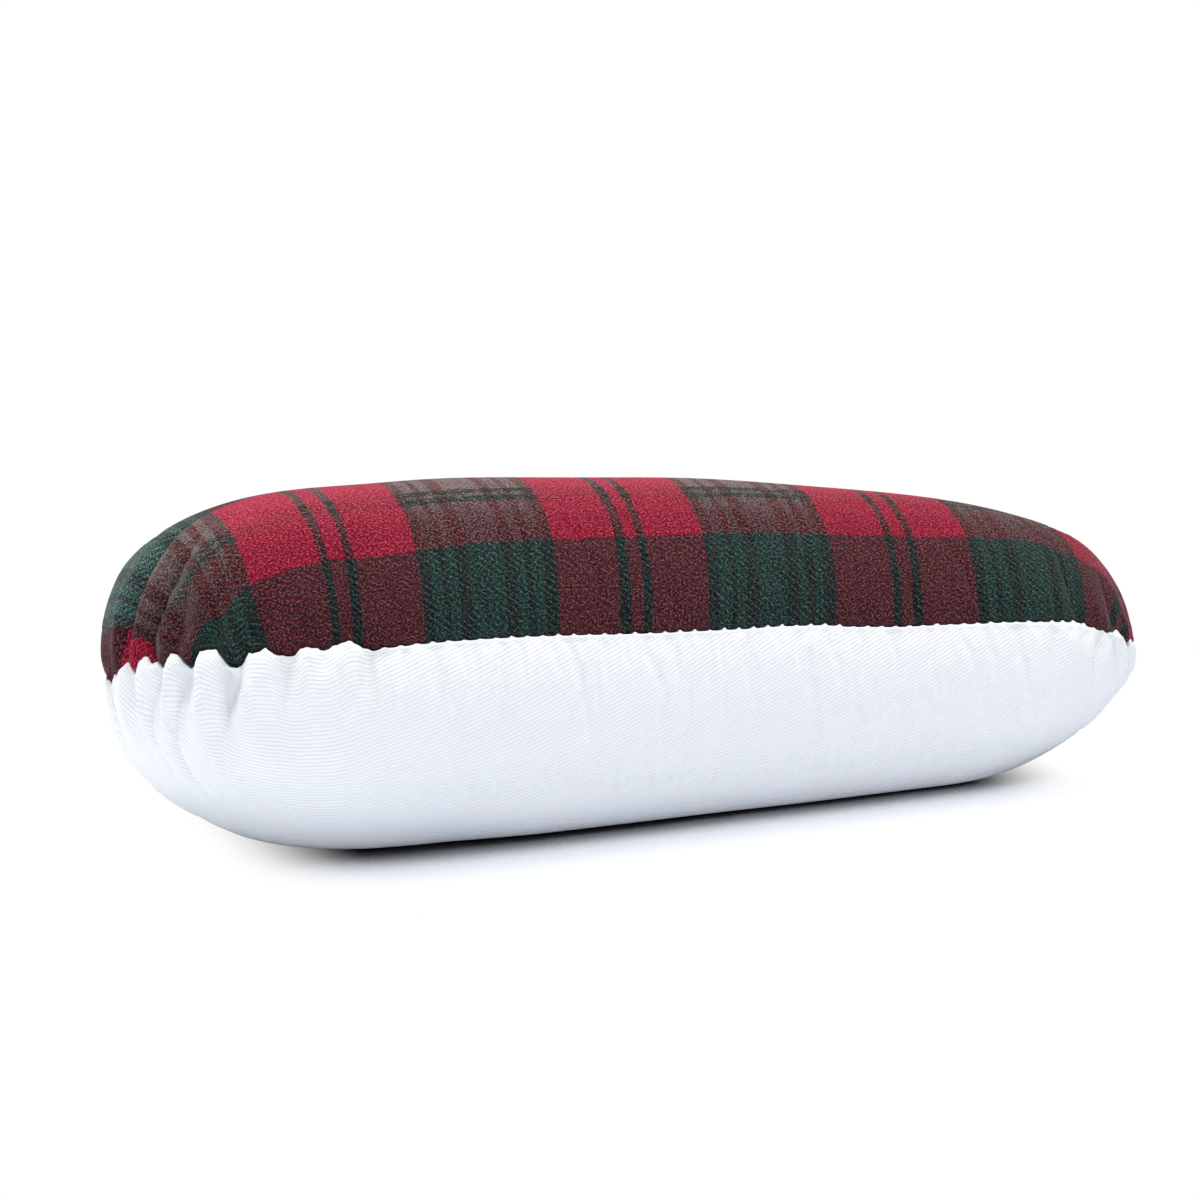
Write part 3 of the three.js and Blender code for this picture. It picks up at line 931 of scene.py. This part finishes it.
def tartan_material():
    g = Graph("tartan_wool")
    place, along, across = g.cloth_places()
    wander = g.split(g.noise(place, 1100, output="Color"))
    along = g.line(g.math("SUBTRACT", wander[0], 0.5), 0.8, along)
    across = g.line(g.math("SUBTRACT", wander[1], 0.5), 0.8, across)
    warp = g.math("DIVIDE", along, WARP_PITCH)
    weft = g.math("DIVIDE", across, WEFT_PITCH)

    def stripe(yarn, pitch, start, stripes):
        middle = g.line(g.math("FLOOR", yarn), pitch, 0.5 * pitch - start)
        stops = [(place / SETT, colour) for place, colour in stripes]
        return g.ramp(g.math("FRACT", g.math("DIVIDE", middle, SETT)), stops)

    def reddish(colour):
        return g.math("GREATER_THAN", g.split(colour, "ShaderNodeSeparateColor")[0], 0.1)

    warp_colour = stripe(warp, WARP_PITCH, WARP_START, WARP_STRIPES)
    warp_red = reddish(warp_colour)
    # the thin green picks sink below the red warp
    picks = stripe(weft, WEFT_PITCH, WEFT_START, THIN_PICKS)
    thin = g.times(picks, g.line(warp_red, -0.6, 1.0))
    mottle = g.line(g.noise(place, 430), 2.6, -0.5)
    thin = g.times(thin, g.math("MINIMUM", g.math("MAXIMUM", mottle, 0.2), 1.0))
    weft_colour = g.mix(thin, stripe(weft, WEFT_PITCH, WEFT_START, WEFT_STRIPES), GREEN)
    weft_red = reddish(weft_colour)

    # twill lines: the weft lies on top where the wave is low, the warp where it is high
    stepped = g.line(g.math("FLOOR", warp), 0.5, g.times(warp, 0.5))
    wave = g.math("FRACT", g.math("DIVIDE", g.math("ADD", stepped, weft), 4))
    wave = g.math("ABSOLUTE", g.line(wave, 2, -1))
    fuzz = g.math("SUBTRACT", g.noise(place, 1000, 3, 0.6), 0.5)
    uneven = g.math("SUBTRACT", warp_red, weft_red)
    warp_green = g.split(warp_colour, "ShaderNodeSeparateColor")[1]
    dark = g.times(g.math("LESS_THAN", warp_green, 0.02), g.math("SUBTRACT", 1.0, warp_red))
    edge = g.line(uneven, -0.13, g.line(fuzz, 1.7, wave))
    over = g.between(g.line(dark, 0.12, edge), 0.2, 0.8)
    chosen = g.mix(over, weft_colour, warp_colour)

    # the four kinds of block: red on red, green on green, red warp on green, green warp on red
    plain = g.times(warp_red, weft_red)
    mixed = g.math("ABSOLUTE", uneven)
    leafy = g.math("SUBTRACT", g.math("SUBTRACT", 1.0, mixed), plain)
    maroon = g.math("MAXIMUM", uneven, 0.0)
    brown = g.math("MAXIMUM", g.times(uneven, -1.0), 0.0)

    # the nap carries the colour of the yarn below over the one on top
    blend = g.node("ShaderNodeGamma")
    g.put(blend.inputs[0], g.mix(1.0, warp_colour, weft_colour, "MULTIPLY"))
    blend.inputs[1].default_value = 0.5
    share = g.line(brown, 0.11, g.line(mixed, 0.21, 0.5))
    share = g.line(g.times(mixed, dark), -0.4, share)
    colour = g.mix(share, chosen, blend.outputs[0])
    colour = g.mix(maroon, colour, g.mix(1.0, colour, MAROON_TINT, "MULTIPLY"))
    colour = g.mix(brown, colour, g.mix(1.0, colour, BROWN_TINT, "MULTIPLY"))

    # light and shade of the yarns, the fibres and wider patches
    crown = g.math("ABSOLUTE", g.line(wave, 2, -1))
    shade = g.line(g.math("SUBTRACT", crown, 0.5), g.line(plain, -0.15, 0.4), 1.0)
    shade = g.times(shade, g.line(maroon, -0.12, 1.0))
    softer = g.line(leafy, 0.2, g.times(brown, -0.08))
    shade = g.times(shade, g.line(dark, softer, 1.0))
    lines = g.times(g.math("SUBTRACT", 0.45, over), leafy)
    shade = g.times(shade, g.line(lines, 0.8, 1.0))
    fibres = g.between(g.noise(place, 1450, 1), 0.35, 0.65, 0.42, 1.58, "LINEAR")
    rough = g.line(plain, -0.1, g.line(brown, 0.3, 1.0))
    fibres = g.line(g.math("SUBTRACT", fibres, 1.0), rough, 1.0)
    shade = g.times(shade, fibres)
    shade = g.times(shade, g.line(g.noise(place, 110, 3, 0.6), 0.4, 0.8))
    # red yarn loses more of its green and blue in the shade between fibres
    shades = [g.math("POWER", shade, g.line(plain, more, 1.0)) for more in (0.0, 1.6, 1.1)]
    colour = g.shaded(colour, shades)

    # pale loose fibres on top of the yarns, more of them where red and green yarns cross
    amount = g.line(brown, 0.8, g.line(plain, -0.2, 1.0))
    amount = g.line(dark, -0.35, amount)
    amount = g.times(amount, g.line(crown, 1.8, 0.1))
    amount = g.times(g.between(g.noise(place, 1450), 0.46, 0.7), amount)
    colour = g.mix(amount, colour, g.mix(maroon, LOOSE_FIBRE, LOOSE_FIBRE_ON_MAROON), "ADD")

    # painted sheen: a pale haze is added to the colour along the crown, where grazing light would catch the
    # nap
    crest = g.between(g.math("ABSOLUTE", g.math("SUBTRACT", across, CROWN_MIDDLE)), *CREST_FADE)
    crest_sheen_mask = g.times(crest, g.between(along, *BODY_FADE))
    sheen_patches = g.line(g.noise(place, 300, 3, 0.6), 2.4, -0.2)
    painted_sheen = g.line(leafy, 0.1, g.line(plain, 0.08, brown))
    painted_sheen = g.times(painted_sheen, g.line(dark, -0.6, 1.0))
    painted_sheen = g.times(painted_sheen, g.line(picks, -0.25, 1.0))
    painted_sheen = g.times(painted_sheen, g.times(crest_sheen_mask, g.line(fibres, 0.6, 0.4)))
    colour = g.mix(g.times(painted_sheen, sheen_patches), colour, PAINTED_CREST_SHEEN, "ADD")
    # painted light: the red is painted lighter on the crown and darker lower down, and the green painted
    # lighter where the cloth turns over the full end and catches the light
    painted_light = g.times(plain, g.line(crest, 0.34, -0.13))
    painted_rim_light = g.times(g.times(leafy, crest), g.between(along, *TIP_FADE))
    painted_light = g.line(painted_rim_light, 1.3, painted_light)
    colour = g.shaded(colour, [g.math("ADD", painted_light, 1.0)] * 3)
    return g.surface(colour, g.line(fibres, 0.6, g.times(crown, 0.6)), 0.4, 0.0003, WOOL_SURFACE)


DRILL_WHITE = (0.93, 0.94, 0.955, 1)
DRILL_TWILL = (2.4, 1.22)
DRILL_PICK = 0.475
DRILL_SURFACE = {"Roughness": 0.9, "Specular IOR Level": 0.2, "Sheen Weight": 0.08}


def drill_material():
    g = Graph("cotton_drill")
    place, along, across = g.cloth_places()
    wander = g.math("SUBTRACT", g.noise(place, 700), 0.5)
    line = g.math("ADD", g.math("DIVIDE", along, DRILL_TWILL[0]), g.math("DIVIDE", across, DRILL_TWILL[1]))
    line = g.line(wander, 0.35, line)
    wave = g.math("ABSOLUTE", g.math("SUBTRACT", g.math("FRACT", line), 0.5))
    ridge = g.line(g.times(wave, wave), -4, 1)
    pick = g.math("FRACT", g.math("DIVIDE", along, DRILL_PICK))
    ridge = g.line(g.math("ABSOLUTE", g.math("SUBTRACT", pick, 0.5)), -0.35, ridge)
    fibres = g.noise(place, 2200, 3, 0.6)
    patches = g.noise(place, 60, 3, 0.6)
    shade = g.line(ridge, 0.17, 0.84)
    shade = g.times(shade, g.line(fibres, 0.08, 0.97))
    shade = g.times(shade, g.line(patches, 0.04, 0.98))
    colour = g.shaded(DRILL_WHITE, [shade] * 3)
    return g.surface(colour, g.line(fibres, 0.3, ridge), 0.5, 0.00025, DRILL_SURFACE)


def plain_material(name, colour, scale, depth):
    g = Graph(name)
    source = g.node("ShaderNodeTexCoord")
    grain = g.noise(source.outputs["Object"], scale, 4, 0.6)
    dark = tuple(0.6 * c for c in colour) + (1,)
    light = tuple(min(1.0, 1.25 * c) for c in colour) + (1,)
    return g.surface(g.mix(grain, dark, light), grain, 0.6, depth, {"Roughness": 0.9})


def dress(piece, material, node):
    piece.data.materials.append(material)
    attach(piece, "root")
    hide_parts(node)


wool = make_cover("tartan_wool_cover", WOOL)
dress(wool, tartan_material(), "wool_top_cover")

cotton = make_cover("cotton_drill_cover", COTTON)
dress(cotton, drill_material(), "cotton_bottom_cover")

filling = make_filling("packed_sawdust")
sawdust = plain_material("sawdust", (0.52, 0.32, 0.14), 900, 0.0006)
dress(filling, sawdust, "sawdust_filling")

thread = plain_material("sewing_thread", (0.72, 0.73, 0.74), 9000, 0.0002)
needle = thread_mesh("needle_stitches", seam_thread_path(WOOL), True)
dress(needle, thread, "seam_needle_thread")
bobbin = thread_mesh("bobbin_stitches", seam_thread_path(COTTON), True)
dress(bobbin, thread, "seam_bobbin_thread")
closing = thread_mesh("closing_stitches", closing_path(), False)
dress(closing, thread, "closing_thread")


# Camera, floor and light

CAMERA_DISTANCE = 0.86579
CAMERA_TURN = math.radians(21.64)
CAMERA_RAISE = math.radians(11.70)
CAMERA_AIM = (-0.01581, 0.00981)
FOCAL_PIXELS, PHOTO_PIXELS = 2780.8, 1200
SENSOR_WIDTH = 36
LOOK_AT = Vector((0, 0, 0.05))


def add_camera():
    level = math.cos(CAMERA_RAISE)
    back = Vector((-math.sin(CAMERA_TURN) * level, -math.cos(CAMERA_TURN) * level, math.sin(CAMERA_RAISE)))
    right = Vector((math.cos(CAMERA_TURN), -math.sin(CAMERA_TURN), 0))
    up = back.cross(right)
    target = LOOK_AT + Vector((0, SIDE_SHIFT * MM, 0)) + CAMERA_AIM[0] * right + CAMERA_AIM[1] * up
    data = bpy.data.cameras.new("camera")
    data.sensor_fit = "HORIZONTAL"
    data.sensor_width = SENSOR_WIDTH
    data.lens = FOCAL_PIXELS / PHOTO_PIXELS * SENSOR_WIDTH
    data.clip_start = 0.01
    data.clip_end = 100
    camera = bpy.data.objects.new("camera", data)
    turned = Matrix((right, up, back)).transposed().to_4x4()
    camera.matrix_world = Matrix.Translation(target + CAMERA_DISTANCE * back) @ turned
    bpy.context.scene.collection.objects.link(camera)
    bpy.context.scene.camera = camera


# The floor: white beyond a rounded patch, and inside it a grey with a painted shadow that darkens close to
# the roll, over the real shadow
FLOOR_REACH = 30.0
PATCH_SHIFT = 0.005
PATCH_HALVES = (0.140, 0.102)
PATCH_FADE = (0.72, 1.0)
SHADE_DISTANCE = 0.06
SHADE_FADE = (0.32, 0.53)
SHADE_DARK, SHADE_LIGHT = (0.012, 0.01, 0.012, 1), (0.69, 0.71, 0.745, 1)
BOUNCE_NEAR, BOUNCE_FAR = (0.77, 0.805, 0.88, 1), (0.84, 0.875, 0.94, 1)
WHITE = (1, 1, 1, 1)
BACKDROP_RAYS = ("Is Camera Ray", "Is Glossy Ray", "Is Transmission Ray")


def floor_material():
    g = Graph("floor")
    place = g.split(g.node("ShaderNodeNewGeometry").outputs["Position"])
    x = g.math("DIVIDE", g.math("ADD", place[0], PATCH_SHIFT), PATCH_HALVES[0])
    y = g.math("DIVIDE", place[1], PATCH_HALVES[1])
    away = [g.math("POWER", g.math("ABSOLUTE", value), 4) for value in (x, y)]
    away = g.math("POWER", g.math("ADD", *away), 0.25)
    far = g.between(away, *PATCH_FADE)
    light = g.node("ShaderNodeLightPath")
    camera, glossy, through = (light.outputs[ray] for ray in BACKDROP_RAYS)
    seen = g.math("MAXIMUM", g.math("MAXIMUM", camera, glossy), through)
    # painted shadow: the floor's seen colour turns dark where the roll is close above it
    near = g.node("ShaderNodeAmbientOcclusion", samples=8)
    near.inputs["Distance"].default_value = SHADE_DISTANCE
    painted_shadow_colour = g.mix(g.between(near.outputs["AO"], *SHADE_FADE), SHADE_DARK, SHADE_LIGHT)
    diffuse = g.node("ShaderNodeBsdfDiffuse")
    g.put(diffuse.inputs["Color"], g.mix(seen, g.mix(far, BOUNCE_NEAR, BOUNCE_FAR), painted_shadow_colour))
    glow = g.node("ShaderNodeEmission")
    glow.inputs["Color"].default_value = WHITE
    both = g.node("ShaderNodeMixShader")
    g.put(both.inputs[0], g.times(seen, far))
    g.put(both.inputs[1], diffuse.outputs[0])
    g.put(both.inputs[2], glow.outputs[0])
    return g.finish(both.outputs[0])


def add_floor():
    mesh = bpy.data.meshes.new("floor")
    corners = [(x * FLOOR_REACH, y * FLOOR_REACH, 0) for x, y in ((-1, -1), (1, -1), (1, 1), (-1, 1))]
    mesh.from_pydata(corners, [], [(0, 1, 2, 3)])
    mesh.materials.append(floor_material())
    floor = bpy.data.objects.new("floor", mesh)
    bpy.context.scene.collection.objects.link(floor)


# The surroundings: dim for the light on the roll, white where they are seen
WORLD_COLOUR = (0.95, 0.97, 1, 1)
WORLD_STRENGTH = 0.2


def add_world():
    world = bpy.data.worlds.new("studio")
    bpy.context.scene.world = world
    world.use_nodes = True
    nodes, links = world.node_tree.nodes, world.node_tree.links
    nodes.clear()
    path = nodes.new("ShaderNodeLightPath")
    seen = path.outputs[BACKDROP_RAYS[0]]
    for ray in BACKDROP_RAYS[1:]:
        either = nodes.new("ShaderNodeMath")
        either.operation = "MAXIMUM"
        links.new(seen, either.inputs[0])
        links.new(path.outputs[ray], either.inputs[1])
        seen = either.outputs[0]
    both = nodes.new("ShaderNodeMixShader")
    links.new(seen, both.inputs[0])
    for socket, colour, strength in ((1, WORLD_COLOUR, WORLD_STRENGTH), (2, WHITE, 1.0)):
        light = nodes.new("ShaderNodeBackground")
        light.inputs["Color"].default_value = colour
        light.inputs["Strength"].default_value = strength
        links.new(light.outputs[0], both.inputs[socket])
    out = nodes.new("ShaderNodeOutputWorld")
    links.new(both.outputs[0], out.inputs["Surface"])


# Name, place and size in metres, and power in watts
SOFTBOXES = (
    ("top_softbox", (0.1, 0.1, 1.3), (1.5, 1.0), 24.5),
    ("front_softbox", (-0.15, -1.15, 1.2), (2.0, 0.7), 8.0),
    ("side_softbox", (-1.1, -0.25, 0.35), (0.8, 0.6), 0.7),
    ("back_softbox", (-1.1, 0.6, 0.65), (1.6, 0.7), 7.2),
)


def add_softbox(name, place, size, power):
    data = bpy.data.lights.new(name, "AREA")
    data.shape = "RECTANGLE"
    data.size, data.size_y = size
    data.energy = power
    lamp = bpy.data.objects.new(name, data)
    lamp.location = place
    lamp.rotation_euler = (LOOK_AT - Vector(place)).to_track_quat("-Z", "Y").to_euler()
    bpy.context.scene.collection.objects.link(lamp)


add_camera()
add_floor()
add_world()
for softbox in SOFTBOXES:
    add_softbox(*softbox)
bpy.context.scene.view_settings.view_transform = "Standard"
